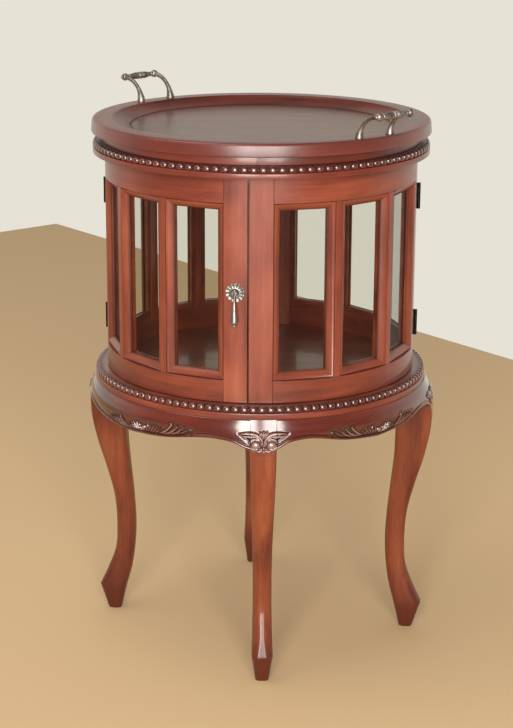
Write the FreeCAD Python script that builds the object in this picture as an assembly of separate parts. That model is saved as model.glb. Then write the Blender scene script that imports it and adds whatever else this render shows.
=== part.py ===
import FreeCAD, Part
import math
import os

from FreeCAD import Vector

# A round tea table: a glazed drum cabinet on four cabriole legs, with a tray that lifts off its top.
# Millimetres, +Z up. The origin is on the floor under the drum's axis, and the front faces -Y.
# An azimuth is counted in degrees from the front towards +X. Each piece is drawn at the front,
# with X along the tangent and -Y outwards, and is then turned to its azimuth.

# Fits and cuts
overrun = 60.0
glue_gap = 0.1
running_gap = 0.3

# Heights of the stack, from the floor up
leg_height = 403.0
base_thickness = 17.0
opening_height = 323.3
head_thickness = 16.7
top_thickness = 15.0
tray_rim_height = 16.7

# The drum's wall: four quarter frames of three windows, turned a little against the legs
drum_radius = 230.5
drum_wall = 20.0
drum_turn = -4.3
windows_per_quarter = 3
stile_width = 35.0
mullion_width = 10.0
top_rail_height = 37.3
bottom_rail_height = 33.0
bevel_width = 11.0
bevel_depth = 7.0
bevel_land = 2.0
glass_thickness = 3.0
glass_lap = 6.0
glazing_bead_depth = 5.0

# The doors' gaps
door_top_gap = 1.5
door_bottom_gap = 1.2
meeting_gap = 2.0

# Butt hinges, two on each door, with the knuckles outside the drum
hinge_height = 38.9
hinge_inset = 64.0
knuckle_radius = 2.6
knuckle_count = 5
hinge_pin_radius = 1.2
hinge_pin_clearance = 0.05
leaf_thickness = 1.0
leaf_gap = 0.4
leaf_depth = 15.0
hinge_screw_radius = 1.2
hinge_screw_head_radius = 2.4
hinge_screw_length = 12.0
hinge_screw_spacing = 22.0

# Mouldings with a row of beads, round the base board and the head
moulding_width = 10.0
base_overhang = 18.5
base_flange_height = 8.3
head_overhang = 17.5
head_flange_height = 7.7
head_ledge = 15.5
bead_height = 8.4
bead_set_back = 1.5

# Cabinet top, with its edging in four lengths
top_overhang = 4.0
edging_width = 12.5
edging_lengths = 4
edging_turn = -1.4

# Tray
tray_overhang = 19.5
tray_rim_width = 32.0
tray_edge_round = 4.0
tray_slope_width = 16.0
tray_step_height = 1.5
tray_fillet_width = 5.0
tray_fillet_height = 1.5
tray_base_thickness = 6.3
tray_base_lap = 8.0
tray_lip_drop = 1.5
tray_play = 0.8

# Tray handles, on the rim's middle line
handle_azimuths = (42.0, 224.5)
handle_spacing = 60.0
handle_rise = 34.5
handle_reach = 38.0
handle_stem = 0.8
handle_post_radius = 2.9
handle_ball_radius = 4.7
handle_flat_depth = 1.0
handle_foot_radius = 6.2
handle_foot_height = 9.0
grip_radius = 4.2
grip_neck_radius = 2.5
grip_ring_count = 3
grip_ring_width = 2.4
handle_screw_radius = 1.9
handle_screw_head_radius = 3.6
handle_screw_head_height = 2.4
handle_screw_bite = 7.0

# Legs: each section is a rounded rectangle, placed by how far it stands out past the drum
front_leg_angle = 1.2
right_leg_angle = 82.0
back_leg_angle = 182.5
left_leg_angle = 261.5
toe_height = 40.0
toe_overhang = 23.5
toe_depth = 42.0
foot_overhang = 11.0
foot_depth = 20.0
foot_width = 19.4
ankle_set_in = 4.0
ankle_depth = 30.0
ankle_width = 31.0
knee_overhang = 35.0
knee_depth = 56.5
knee_width = 37.0
crest_overhang = 20.5
leg_corner_radius = 7.0
leg_corner_share = 0.33
# Each row: height between the toe and the top, then how far the outer line has gone from the
# ankle's reach to the knee's, the inner line from the ankle's back to the knee's, and the width
# from the ankle's to the knee's.
leg_section_shares = (
    (0.08, 0.37, 0.60, 0.00),
    (0.17, 0.07, 0.19, 0.00),
    (0.27, 0.00, 0.00, 0.00),
    (0.41, 0.08, 0.16, 0.10),
    (0.54, 0.37, 0.52, 0.35),
    (0.67, 0.71, 0.90, 0.70),
    (0.80, 0.97, 1.00, 0.96),
    (0.87, 1.00, 1.00, 1.00),
    (0.94, 0.87, 1.00, 1.00),
)

# Aprons between the legs
apron_overhang = 19.5
apron_bulge = 7.0
apron_thickness = 18.0
apron_depth = 42.0
apron_bulge_share = 0.55
apron_lip_share = 0.5
# Each pair: how far from the leg's middle to the middle of the span, and the share of the depth.
apron_edge_shares = ((0.0, 0.98), (0.10, 0.94), (0.19, 0.75), (0.30, 0.67), (0.70, 0.89), (1.0, 1.0))

# Corner blocks beside each leg's post, screwed up into the base board
block_width = 28.0
block_depth = 20.0
block_height = 24.0
block_screw_radius = 2.0
block_screw_head_radius = 3.8
block_screw_head_height = 2.6
block_screw_bite = 12.0

# Drop pull on the left door's meeting stile
pull_inset = 18.0
pull_above_floor = 161.0
rosette_radius = 13.3
rosette_thickness = 2.2
rosette_petals = 12
pull_post_radius = 4.6
pull_post_length = 8.6
pull_shank_radius = 2.0
pull_shank_length = 14.0
pull_pivot_set_back = 3.1
pull_pin_radius = 0.8
pull_pin_clearance = 0.06
pull_slot_width = 2.6
pull_tongue_width = 2.0
pull_tongue_radius = 2.6
pendant_length = 48.0
pendant_radius = 6.2
pendant_stem_radius = 1.3
pendant_finial_radius = 2.4
pendant_stem_share = 0.25
pendant_belly_share = 0.74
pendant_foot_share = 0.90

# Magnetic catch under the head, and a strike plate on each door
catch_length = 44.0
catch_depth = 12.0
catch_height = 12.0
strike_width = 12.0
strike_height = 10.0
strike_thickness = 1.2
strike_middle = 12.0

# Levels and radii that follow
floor_z = leg_height + base_thickness
head_z = floor_z + opening_height
top_z = head_z + head_thickness
tray_z = top_z + top_thickness
rim_z = tray_z + tray_rim_height
drum_bore = drum_radius - drum_wall
base_flange_radius = drum_radius + base_overhang
head_flange_radius = drum_radius + head_overhang
head_bore_radius = drum_bore - head_ledge
top_radius = drum_radius + top_overhang
tray_radius = drum_radius + tray_overhang
apron_radius = drum_radius + apron_overhang
knee_reach = drum_radius + knee_overhang
reach = max(tray_radius, knee_reach) + overrun
ORIGIN = Vector(0, 0, 0)
UP = Vector(0, 0, 1)
ALONG = Vector(1, 0, 0)

# Leg lines that follow: outer and inner reach from the drum's axis
foot_reach = drum_radius + foot_overhang
foot_back = foot_reach - foot_depth
toe_reach = drum_radius + toe_overhang
toe_back = toe_reach - toe_depth
ankle_reach = drum_radius - ankle_set_in
ankle_back = ankle_reach - ankle_depth
knee_back = knee_reach - knee_depth
crest_reach = drum_radius + crest_overhang
leg_azimuths = {
    "front": front_leg_angle,
    "right": right_leg_angle,
    "back": back_leg_angle,
    "left": left_leg_angle,
}

# Quarter frame sizes that follow
quarter = 90.0
stile_angle = math.degrees(stile_width / drum_radius)
mullion_angle = math.degrees(mullion_width / drum_radius)
window_angle = (quarter - 2 * stile_angle - (windows_per_quarter - 1) * mullion_angle) / windows_per_quarter
window_pitch = window_angle + mullion_angle
window_half = drum_radius * math.sin(math.radians(window_angle / 2))
sight_half = window_half - bevel_width
rebate_half = sight_half + glass_lap
window_low = floor_z + bottom_rail_height
window_high = head_z - top_rail_height
sight_low = window_low + bevel_width
sight_high = window_high - bevel_width
rebate_low = sight_low - glass_lap
rebate_high = sight_high + glass_lap
chord_out = math.sqrt(drum_radius ** 2 - window_half ** 2)
sight_out = chord_out - bevel_depth
glass_out = sight_out - bevel_land
glass_in = glass_out - glass_thickness
window_azimuths = [(i - (windows_per_quarter - 1) / 2) * window_pitch for i in range(windows_per_quarter)]

# Door and hinge places that follow
hinge_gap = leaf_gap + 2 * leaf_thickness
pin_out = drum_radius + knuckle_radius + running_gap
door_low = floor_z + door_bottom_gap
door_high = head_z - door_top_gap
hinge_heights = (door_low + hinge_inset, door_high - hinge_inset)
left_hinge_azimuth = drum_turn - quarter
right_hinge_azimuth = drum_turn + quarter

# Pull places that follow
pull_azimuth = drum_turn - math.degrees(pull_inset / drum_radius)
pull_z = floor_z + pull_above_floor
rosette_out = drum_radius + glue_gap
post_out = rosette_out + rosette_thickness
post_end = post_out + pull_post_length
pivot_out = post_end - pull_pivot_set_back

# Catch place that follows: its plates lie flat inside the curve of the doors' bore
strike_out = math.sqrt(drum_bore ** 2 - (strike_width / 2) ** 2) - glue_gap

# Tray places that follow
tray_floor_z = tray_z + tray_base_thickness
tray_slope_top = tray_radius - tray_rim_width
tray_slope_foot = tray_slope_top - tray_slope_width
tray_well_radius = tray_slope_foot - tray_fillet_width
tray_rebate_radius = tray_well_radius + tray_base_lap

# Tray handle places that follow
handle_out =tray_radius - tray_rim_width / 2
handle_bend = handle_rise - handle_foot_height - handle_stem
grip_out = handle_out + handle_reach
grip_z = rim_z + handle_rise
grip_half = handle_spacing / 2 - handle_ball_radius + handle_flat_depth


# Small helpers

def turned(shape, azimuth):
    """A copy of a shape drawn at the front, turned to an azimuth."""
    copy = shape.copy()
    copy.rotate(ORIGIN, UP, azimuth)
    return copy


def block(left, right, inner, outer, low, high):
    """A box at the front: along the tangent, outwards from the axis, and in height."""
    return Part.makeBox(right - left, outer - inner, high - low, Vector(left, -outer, low))


def disc(radius, low, high):
    return Part.makeCylinder(radius, high - low, Vector(0, 0, low))


def further_round(azimuth, offset):
    """All space past the upright plane through an azimuth, moved along its tangent by an offset."""
    return turned(block(offset, offset + 2 * reach, -reach, reach, -overrun, rim_z + overrun), azimuth)


def less_round(azimuth, offset):
    """All space short of the upright plane through an azimuth, moved along its tangent."""
    return turned(block(offset - 2 * reach, offset, -reach, reach, -overrun, rim_z + overrun), azimuth)


def between_heights(low, high):
    return block(-reach, reach, -reach, reach, low, high)


def ring(points):
    """A full turn of a closed outline of (radius, height) points; three points give an arc."""
    edges = []
    for piece in points:
        at = [Vector(radius, 0, height) for radius, height in piece]
        edges.append(Part.makeLine(*at) if len(at) == 2 else Part.Arc(*at).toShape())
    return Part.Face(Part.Wire(edges)).revolve(ORIGIN, UP, 360)


def lines(points):
    """The straight sides between points, as pieces of an outline."""
    return list(zip(points[:-1], points[1:]))


def outward_rod(radius, start, end, along, height):
    """A round bar that points away from the axis, at a place along the tangent."""
    return Part.makeCylinder(radius, end - start, Vector(along, -start, height), Vector(0, -1, 0))


def compound(solids):
    return Part.makeCompound(list(solids))


# Drum: quarter frames, panes and glazing beads

def upright_rectangle(half, out, low, high):
    places = ((-half, low), (half, low), (half, high), (-half, high), (-half, low))
    return Part.makePolygon([Vector(along, -out, height) for along, height in places])


def window_cutters():
    """What one window takes out of the wall: the sight, its bevelled edge, the way in, and the rebate."""
    sight = block(-sight_half, sight_half, drum_bore - overrun, sight_out, sight_low, sight_high)
    bevel = Part.makeLoft(
        [
            upright_rectangle(sight_half, sight_out, sight_low, sight_high),
            upright_rectangle(window_half, chord_out, window_low, window_high),
        ],
        True,
        True,
    )
    way_in = block(-window_half, window_half, chord_out, drum_radius + overrun, window_low, window_high)
    rebate = block(-rebate_half, rebate_half, drum_bore - overrun, glass_out, rebate_low, rebate_high)
    return [sight, bevel, way_in, rebate]


def quarter_frame(low, high, first_gap, last_gap):
    """One quarter of the drum's wall at the front, with its windows cut and its two ends trimmed."""
    wall = disc(drum_radius, low, high).cut(disc(drum_bore, low, high))
    wall = wall.cut(less_round(-quarter / 2, first_gap))
    wall = wall.cut(further_round(quarter / 2, -last_gap))
    for azimuth in window_azimuths:
        wall = wall.cut([turned(cutter, azimuth) for cutter in window_cutters()])
    return wall


def frame_pieces(wall):
    """A quarter frame taken apart: two full-height stiles, the rails between them, and the mullions."""
    first_side = less_round(window_azimuths[0], -sight_half)
    last_side = further_round(window_azimuths[-1], sight_half)
    middle = wall.cut([first_side, last_side])
    return {
        "first_stile": wall.common(first_side),
        "last_stile": wall.common(last_side),
        "top_rail": middle.common(between_heights(sight_high, rim_z)),
        "bottom_rail": middle.common(between_heights(0, sight_low)),
        "mullions": middle.common(between_heights(sight_low, sight_high)),
    }


def in_rebate(inner, outer):
    """A slab that fills a window's rebate, less the fitting gap round it."""
    half = rebate_half - glue_gap
    return block(-half, half, inner, outer, rebate_low + glue_gap, rebate_high - glue_gap)


def pane():
    return in_rebate(glass_in, glass_out)


def glazing_bead():
    """The strip frame that holds one pane from inside."""
    frame = in_rebate(glass_in - glazing_bead_depth, glass_in)
    return frame.cut(block(-sight_half, sight_half, drum_bore - overrun, glass_in, sight_low, sight_high))


def in_each_window(shape, middle):
    """Copies of a shape in the windows of the quarter that is centred on an azimuth."""
    return [turned(shape, middle + azimuth) for azimuth in window_azimuths]


# Hinges

def hinge_screw(side, middle, gap):
    """A countersunk screw from a leaf's face into the wood; the side is +1 or -1 along the tangent."""
    face = side * leaf_gap / 2
    away = Vector(side, 0, 0)
    centre = Vector(face, -(drum_radius - drum_wall / 2), middle)
    radius = hinge_screw_radius + gap
    head = Part.makeCone(hinge_screw_head_radius + gap, radius, leaf_thickness, centre, away)
    return head.fuse(Part.makeCylinder(radius, hinge_screw_length + gap, centre, away))


def hinge_screws(side, gap):
    offsets = (-hinge_screw_spacing / 2, hinge_screw_spacing / 2)
    return [hinge_screw(side, height + offset, gap) for height in hinge_heights for offset in offsets]


def hinge_leaf(side, knuckles, middle):
    """A plate on the edge of the wood, and the knuckles that it rolls round the pin."""
    left, right = sorted((side * leaf_gap / 2, side * (leaf_gap / 2 + leaf_thickness)))
    low = middle - hinge_height / 2
    knuckle_length = hinge_height / knuckle_count
    plate_end = pin_out - knuckle_radius - running_gap
    leaf = block(left, right, drum_radius - leaf_depth, plate_end, low, low + hinge_height)
    for knuckle in knuckles:
        start = low + knuckle * knuckle_length + running_gap / 2
        end = start + knuckle_length - running_gap
        barrel = Part.makeCylinder(knuckle_radius, end - start, Vector(0, -pin_out, start))
        leaf = leaf.fuse([barrel, block(left, right, plate_end, pin_out, start, end)])
    bore = hinge_pin_radius + hinge_pin_clearance
    leaf = leaf.cut(Part.makeCylinder(bore, hinge_height, Vector(0, -pin_out, low)))
    return leaf.cut(hinge_screws(side, glue_gap))


def hinge_pin(middle):
    return Part.makeCylinder(hinge_pin_radius, hinge_height, Vector(0, -pin_out, middle - hinge_height / 2))


frame_knuckles = range(0, knuckle_count, 2)
door_knuckles = range(1, knuckle_count, 2)


def hinge_nodes(door, door_side, azimuth):
    """The leaves and screws of one door's two hinges; the door lies on the given side of the pin."""
    return {
        f"{door}_hinge_leaves": compound(
            turned(hinge_leaf(door_side, door_knuckles, height), azimuth) for height in hinge_heights
        ),
        f"{door}_frame_hinge_leaves": compound(
            turned(hinge_leaf(-door_side, frame_knuckles, height), azimuth) for height in hinge_heights
        ),
        f"{door}_hinge_screws": compound(turned(screw, azimuth) for screw in hinge_screws(door_side, 0)),
    }


# Doors and the fixed back of the drum

def strike(side):
    """The catch's plate on the inner face of a meeting stile, to one side of the joint."""
    offset = math.degrees(strike_middle / drum_bore)
    half = strike_width / 2
    high = door_high - running_gap
    plate = block(-half, half, strike_out - strike_thickness, strike_out, high - strike_height, high)
    return turned(plate, drum_turn + side * offset)


def catch():
    """A double magnetic catch under the head, just inside the two strike plates."""
    clear_radius = strike_out - strike_thickness - running_gap
    half = catch_length / 2
    body = block(-half, half, clear_radius - catch_depth, drum_bore, head_z - catch_height, head_z)
    return turned(body.common(disc(clear_radius, floor_z, head_z)), drum_turn)


def door_nodes(door, middle, hinge_side):
    """A glazed door: its frame, panes, beads, hinges and strike; the hinge side is +1 or -1 round."""
    gaps = (hinge_gap / 2, meeting_gap / 2) if hinge_side < 0 else (meeting_gap / 2, hinge_gap / 2)
    pieces = frame_pieces(quarter_frame(door_low, door_high, *gaps))
    pieces = {name: turned(piece, middle) for name, piece in pieces.items()}
    hinge_azimuth = middle + hinge_side * quarter / 2
    screws = [turned(screw, hinge_azimuth) for screw in hinge_screws(-hinge_side, glue_gap)]
    stiles = (pieces["first_stile"], pieces["last_stile"])
    hinge_stile, meeting_stile = stiles if hinge_side < 0 else stiles[::-1]
    nodes = {
        f"{door}_hinge_stile": hinge_stile.cut(screws),
        f"{door}_meeting_stile": meeting_stile,
        f"{door}_top_rail": pieces["top_rail"],
        f"{door}_bottom_rail": pieces["bottom_rail"],
        f"{door}_mullions": pieces["mullions"],
        f"{door}_panes": compound(in_each_window(pane(), middle)),
        f"{door}_glazing_beads": compound(in_each_window(glazing_bead(), middle)),
        f"{door}_strike": strike(-hinge_side),
    }
    nodes.update(hinge_nodes(door, -hinge_side, hinge_azimuth))
    return nodes


def back_nodes():
    """The fixed back half: two quarter frames that share one post, glazed like the doors."""
    right_middle = right_hinge_azimuth + quarter / 2
    left_middle = left_hinge_azimuth - quarter / 2
    right = frame_pieces(quarter_frame(floor_z, head_z, hinge_gap / 2, 0))
    left = frame_pieces(quarter_frame(floor_z, head_z, 0, hinge_gap / 2))
    right = {name: turned(piece, right_middle) for name, piece in right.items()}
    left = {name: turned(piece, left_middle) for name, piece in left.items()}
    right_screws = [turned(screw, right_hinge_azimuth) for screw in hinge_screws(1, glue_gap)]
    left_screws = [turned(screw, left_hinge_azimuth) for screw in hinge_screws(-1, glue_gap)]
    pins = [
        turned(hinge_pin(height), azimuth)
        for azimuth in (left_hinge_azimuth, right_hinge_azimuth)
        for height in hinge_heights
    ]
    frame_screws = [turned(screw, right_hinge_azimuth) for screw in hinge_screws(1, 0)]
    frame_screws += [turned(screw, left_hinge_azimuth) for screw in hinge_screws(-1, 0)]
    middles = (right_middle, left_middle)
    return {
        "back_post": right["last_stile"].fuse(left["first_stile"]).removeSplitter(),
        "right_hinge_post": right["first_stile"].cut(right_screws),
        "left_hinge_post": left["last_stile"].cut(left_screws),
        "back_top_rails": compound([right["top_rail"], left["top_rail"]]),
        "back_bottom_rails": compound([right["bottom_rail"], left["bottom_rail"]]),
        "back_mullions": compound(right["mullions"].Solids + left["mullions"].Solids),
        "back_panes": compound(copy for middle in middles for copy in in_each_window(pane(), middle)),
        "back_glazing_beads": compound(
            copy for middle in middles for copy in in_each_window(glazing_bead(), middle)
        ),
        "hinge_pins": compound(pins),
        "frame_hinge_screws": compound(frame_screws),
        "door_catch": catch(),
    }


# Drop pull

def pull_shank(gap):
    return outward_rod(pull_shank_radius + gap, drum_radius - pull_shank_length - gap, post_out, 0, pull_z)


def rosette():
    """A round plate edged with petals, bored for the post's shank."""
    spread = math.sin(math.pi / rosette_petals)
    petal = rosette_radius * spread / (1 + spread)
    circle = rosette_radius - petal
    plate = outward_rod(circle, rosette_out, post_out, 0, pull_z)
    for i in range(rosette_petals):
        turn = 2 * math.pi * i / rosette_petals
        height = pull_z + circle * math.cos(turn)
        plate = plate.fuse(outward_rod(petal, rosette_out, post_out, circle * math.sin(turn), height))
    return plate.removeSplitter().cut(pull_shank(glue_gap))


def pull_post():
    """A domed post with a shank into the stile, slotted for the pendant's tongue and crossed by its pin."""
    post = outward_rod(pull_post_radius, post_out, post_end, 0, pull_z)
    end_edge = min(post.Edges, key=lambda edge: edge.CenterOfMass.y)
    post = post.makeFillet(pull_pivot_set_back / 2, [end_edge])
    slot_floor = pivot_out - pull_tongue_radius - running_gap
    half = pull_slot_width / 2
    above = pull_z + overrun
    below = pull_z - overrun
    post = post.cut(block(-half, half, slot_floor, post_end + overrun, below, above))
    pin_reach = pull_post_radius - running_gap
    pin = Part.makeCylinder(pull_pin_radius, 2 * pin_reach, Vector(-pin_reach, -pivot_out, pull_z), ALONG)
    return post.fuse([pull_shank(0), pin]).removeSplitter()


def pendant():
    """A teardrop on a thin stem, with a ball under it and a flat bored tongue on top."""
    stem_low = pull_z - pendant_stem_share * pendant_length
    belly = pull_z - pendant_belly_share * pendant_length
    foot = pull_z - pendant_foot_share * pendant_length
    finial_z = pull_z - pendant_length + pendant_finial_radius
    drop = ring(lines([
        (0, finial_z),
        (0, pull_z),
        (pendant_stem_radius, pull_z),
        (pendant_stem_radius, stem_low),
        (pendant_radius, belly),
        (pendant_stem_radius, foot),
        (pendant_stem_radius, finial_z),
        (0, finial_z),
    ]))
    drop = drop.fuse(Part.makeSphere(pendant_finial_radius, Vector(0, 0, finial_z)))
    drop.translate(Vector(0, -pivot_out, 0))
    half = pull_tongue_width / 2
    below_tongue = pull_z - pull_post_radius - running_gap
    slot_side = block(-overrun, -half, 0, reach, below_tongue, rim_z)
    drop = drop.cut([slot_side, slot_side.mirror(ORIGIN, ALONG)])
    centre = Vector(-half, -pivot_out, pull_z)
    drop = drop.fuse(Part.makeCylinder(pull_tongue_radius, pull_tongue_width, centre, ALONG))
    bore = Part.makeCylinder(pull_pin_radius + pull_pin_clearance, pull_tongue_width, centre, ALONG)
    return drop.cut(bore).removeSplitter()


def pull_nodes():
    return {name: turned(make(), pull_azimuth) for name, make in
            {"pull_rosette": rosette, "pull_post": pull_post, "pull_drop": pendant}.items()}


# Base, mouldings and top

def beaded_moulding(bore, flange, flange_height, low, high):
    """A ring with a plain flange below and a half-round bead above it, set back a little."""
    bead_low = low + flange_height
    bead_middle = bead_low + bead_height / 2
    bead_foot = flange - bead_set_back - bead_height / 2
    bead_high = bead_low + bead_height
    outline = lines([(bore, high), (bore, low), (flange, low), (flange, bead_low), (bead_foot, bead_low)])
    outline.append(((bead_foot, bead_low), (flange - bead_set_back, bead_middle), (bead_foot, bead_high)))
    outline += lines([(bead_foot, bead_high), (bead_foot, high), (bore, high)])
    return ring(outline)


def edging():
    """The lipping round the cabinet top, cut into equal lengths."""
    bore = top_radius - edging_width
    lip = disc(top_radius, top_z, tray_z).cut(disc(bore, top_z, tray_z))
    step = 360 / edging_lengths
    sector = lip.cut([less_round(-step / 2, glue_gap / 2), further_round(step / 2, -glue_gap / 2)])
    return compound(turned(sector, edging_turn + (i + 1 / 2) * step) for i in range(edging_lengths))


def block_screw_places():
    """The azimuth turn and the place along the tangent of each corner block's screw."""
    along = knee_width / 2 + glue_gap + block_width / 2
    return [(azimuth, side * along) for azimuth in leg_azimuths.values() for side in (-1, 1)]


def block_outer():
    """How far out a corner block's flat back stands, inside the curve of the apron."""
    corner = knee_width / 2 + glue_gap + block_width
    return math.sqrt((apron_radius - apron_thickness - glue_gap) ** 2 - corner ** 2)


def block_screw(azimuth, along, gap):
    middle = block_outer() - block_depth / 2
    low = leg_height - block_height
    foot = Vector(along, -middle, low)
    length = block_height + block_screw_bite
    shank = Part.makeCylinder(block_screw_radius + gap, length + gap, foot)
    head = Part.makeCylinder(block_screw_head_radius + gap, block_screw_head_height + gap, foot)
    return turned(shank.fuse(head), azimuth)


def corner_block(azimuth, along):
    half = block_width / 2
    outer = block_outer()
    low = leg_height - block_height
    piece = block(along - half, along + half, outer - block_depth, outer, low, leg_height)
    return turned(piece, azimuth).cut(block_screw(azimuth, along, glue_gap))


def base_nodes():
    base_bore = base_flange_radius - moulding_width
    places = block_screw_places()
    board = disc(base_bore - glue_gap, leg_height, floor_z)
    board = board.cut([block_screw(azimuth, along, glue_gap) for azimuth, along in places])
    lower = beaded_moulding(base_bore, base_flange_radius, base_flange_height, leg_height, floor_z)
    upper = beaded_moulding(head_bore_radius, head_flange_radius, head_flange_height, head_z, top_z)
    return {
        "base_board": board,
        "lower_bead_moulding": lower,
        "upper_bead_moulding": upper,
        "cabinet_top": disc(top_radius - edging_width - glue_gap, top_z, tray_z),
        "top_edging": edging(),
        "corner_blocks": compound(corner_block(azimuth, along) for azimuth, along in places),
        "corner_block_screws": compound(block_screw(azimuth, along, 0) for azimuth, along in places),
    }


# Legs and aprons

def leg_section(outer, inner, width, height):
    """A level rounded rectangle, from the inner line to the outer one."""
    half = width / 2
    corner = min(leg_corner_radius, leg_corner_share * width, leg_corner_share * (outer - inner))
    bend = corner * (1 - math.sqrt(1 / 2))
    quadrants = ((1, outer, 1), (1, inner, -1), (-1, inner, -1), (-1, outer, 1))
    arcs = []
    for i, (side, face, sign) in enumerate(quadrants):
        on_face = Vector(side * (half - corner), -face, height)
        on_side = Vector(side * half, -(face - sign * corner), height)
        middle = Vector(side * (half - bend), -(face - sign * bend), height)
        ends = (on_face, middle, on_side) if i % 2 == 0 else (on_side, middle, on_face)
        arcs.append(ends)
    edges = []
    for this, following in zip(arcs, arcs[1:] + arcs[:1]):
        edges.append(Part.Arc(*this).toShape())
        edges.append(Part.makeLine(this[2], following[0]))
    return Part.Wire(edges)


def leg():
    """A cabriole leg: a tapering foot under a sharp toe, the ankle, the knee and a square post."""
    toe = leg_section(toe_reach, toe_back, ankle_width, toe_height)
    foot = Part.makeLoft([leg_section(foot_reach, foot_back, foot_width, 0), toe], True, True)
    sections = [toe]
    for rise, out, back, wide in leg_section_shares:
        sections.append(
            leg_section(
                ankle_reach + out * (knee_reach - ankle_reach),
                ankle_back + back * (knee_back - ankle_back),
                ankle_width + wide * (knee_width - ankle_width),
                toe_height + rise * (leg_height - toe_height),
            )
        )
    sections.append(leg_section(crest_reach, knee_back, knee_width, leg_height))
    shaft = Part.makeLoft(sections, True, False)
    stock = block(-knee_width / 2, knee_width / 2, 0, reach, 0, leg_height)
    return foot.fuse(shaft).common(stock)


def apron(start, span):
    """The curved rail from one leg to the next, bowed outwards and scalloped along its lower edge."""
    low = leg_height - apron_depth
    bulge = Vector(0, -(apron_radius + apron_bulge), leg_height - apron_bulge_share * apron_depth)
    lip = Vector(0, -(apron_radius + apron_lip_share * apron_bulge), low)
    crest = Vector(0, -apron_radius, leg_height)
    back_high = Vector(0, apron_thickness - apron_radius, leg_height)
    back_low = Vector(0, apron_thickness - apron_radius, low)
    straight = [Part.makeLine(*ends) for ends in lines([lip, back_low, back_high, crest])]
    face = Part.Face(Part.Wire([Part.Arc(crest, bulge, lip).toShape()] + straight))
    rail = turned(face, start).revolve(ORIGIN, UP, span)
    slot_half = knee_width / 2 + glue_gap
    slot = block(-slot_half, slot_half, 0, reach, 0, leg_height + overrun)
    return rail.cut([turned(slot, start), turned(slot, start + span), apron_scallop(start, span)])


def apron_scallop(start, span):
    """All that lies under the apron's lower edge, which dips at the legs and at mid span."""
    half = [(share / 2, drop) for share, drop in apron_edge_shares]
    whole = half + [(1 - share, drop) for share, drop in half[-2::-1]]
    curves = []
    for radius in (apron_radius - apron_thickness - overrun, apron_radius + apron_bulge + overrun):
        points = []
        for share, drop in whole:
            angle = math.radians(start + share * span)
            height = leg_height - drop * apron_depth
            points.append(Vector(radius * math.sin(angle), -radius * math.cos(angle), height))
        curve = Part.BSplineCurve()
        curve.interpolate(points)
        curves.append(curve.toShape())
    return Part.makeRuledSurface(*curves).extrude(Vector(0, 0, -leg_height))


def leg_nodes():
    """Each leg, and the apron that runs from it to the next one round."""
    nodes = {}
    names = list(leg_azimuths)
    stand = leg()
    for name, following in zip(names, names[1:] + names[:1]):
        azimuth = leg_azimuths[name]
        span = (leg_azimuths[following] - azimuth) % 360
        nodes[f"{name}_leg"] = turned(stand, azimuth)
        nodes[f"{name}_to_{following}_apron"] = apron(azimuth, span)
    return nodes


# Tray

def handle_screw(azimuth, along, gap):
    """A screw up through the rim into one handle post, with its head sunk under the tray."""
    foot = Vector(along, -handle_out, tray_z + glue_gap)
    length = rim_z + handle_screw_bite - tray_z
    shank = Part.makeCylinder(handle_screw_radius + gap, length + gap, foot)
    head_low = foot - UP * (tray_lip_drop + glue_gap) * (gap > 0)
    head_high = tray_z + glue_gap + handle_screw_head_height + gap
    head = Part.makeCylinder(handle_screw_head_radius + gap, head_high - head_low.z, head_low)
    return turned(shank.fuse(head), azimuth)


def handle_places():
    sides = (-handle_spacing / 2, handle_spacing / 2)
    return [(azimuth, along) for azimuth in handle_azimuths for along in sides]


def rim():
    """The tray's turned rim: a flat top that slopes into the well, and a lip round the cabinet top."""
    lip = top_radius + tray_play
    fillet_z = tray_floor_z + tray_fillet_height
    rounded = tray_edge_round
    bend = rounded * (1 - math.sqrt(1 / 2))
    outline = lines([
        (tray_radius - rounded, rim_z),
        (tray_slope_top, rim_z),
        (tray_slope_foot, fillet_z + tray_step_height),
        (tray_slope_foot, fillet_z),
        (tray_well_radius, tray_floor_z),
        (tray_rebate_radius, tray_floor_z),
        (tray_rebate_radius, tray_z),
        (lip, tray_z),
        (lip, tray_z - tray_lip_drop),
        (tray_radius, tray_z - tray_lip_drop),
        (tray_radius, rim_z - rounded),
    ])
    outline.append((
        (tray_radius, rim_z - rounded),
        (tray_radius - bend, rim_z - bend),
        (tray_radius - rounded, rim_z),
    ))
    return ring(outline).cut([handle_screw(azimuth, along, glue_gap) for azimuth, along in handle_places()])


def handle_post(along):
    """A flared foot on the rim, a stem that bends outwards, and a ball that takes the grip's end."""
    foot_at = Vector(along, -handle_out, rim_z)
    stem_at = foot_at + UP * handle_foot_height
    bend_at = stem_at + UP * handle_stem
    foot = Part.makeCone(handle_foot_radius, handle_post_radius, handle_foot_height, foot_at)
    stem = Part.makeCylinder(handle_post_radius, handle_stem, stem_at)
    elbow = Part.Face(Part.Wire(Part.makeCircle(handle_post_radius, bend_at, UP)))
    elbow = elbow.revolve(bend_at - Vector(0, handle_bend, 0), ALONG, 90)
    arm = outward_rod(handle_post_radius, handle_out + handle_bend, grip_out, along, grip_z)
    ball = Part.makeSphere(handle_ball_radius, Vector(along, -grip_out, grip_z))
    return foot.fuse([stem, elbow, arm, ball]).cut(grip_space())


def grip_space():
    """The room between a handle's two balls, up to the flats that the grip butts against."""
    low = grip_z - handle_ball_radius
    high = grip_z + handle_ball_radius
    return block(-grip_half, grip_half, handle_out, grip_out + handle_ball_radius, low, high)


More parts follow.
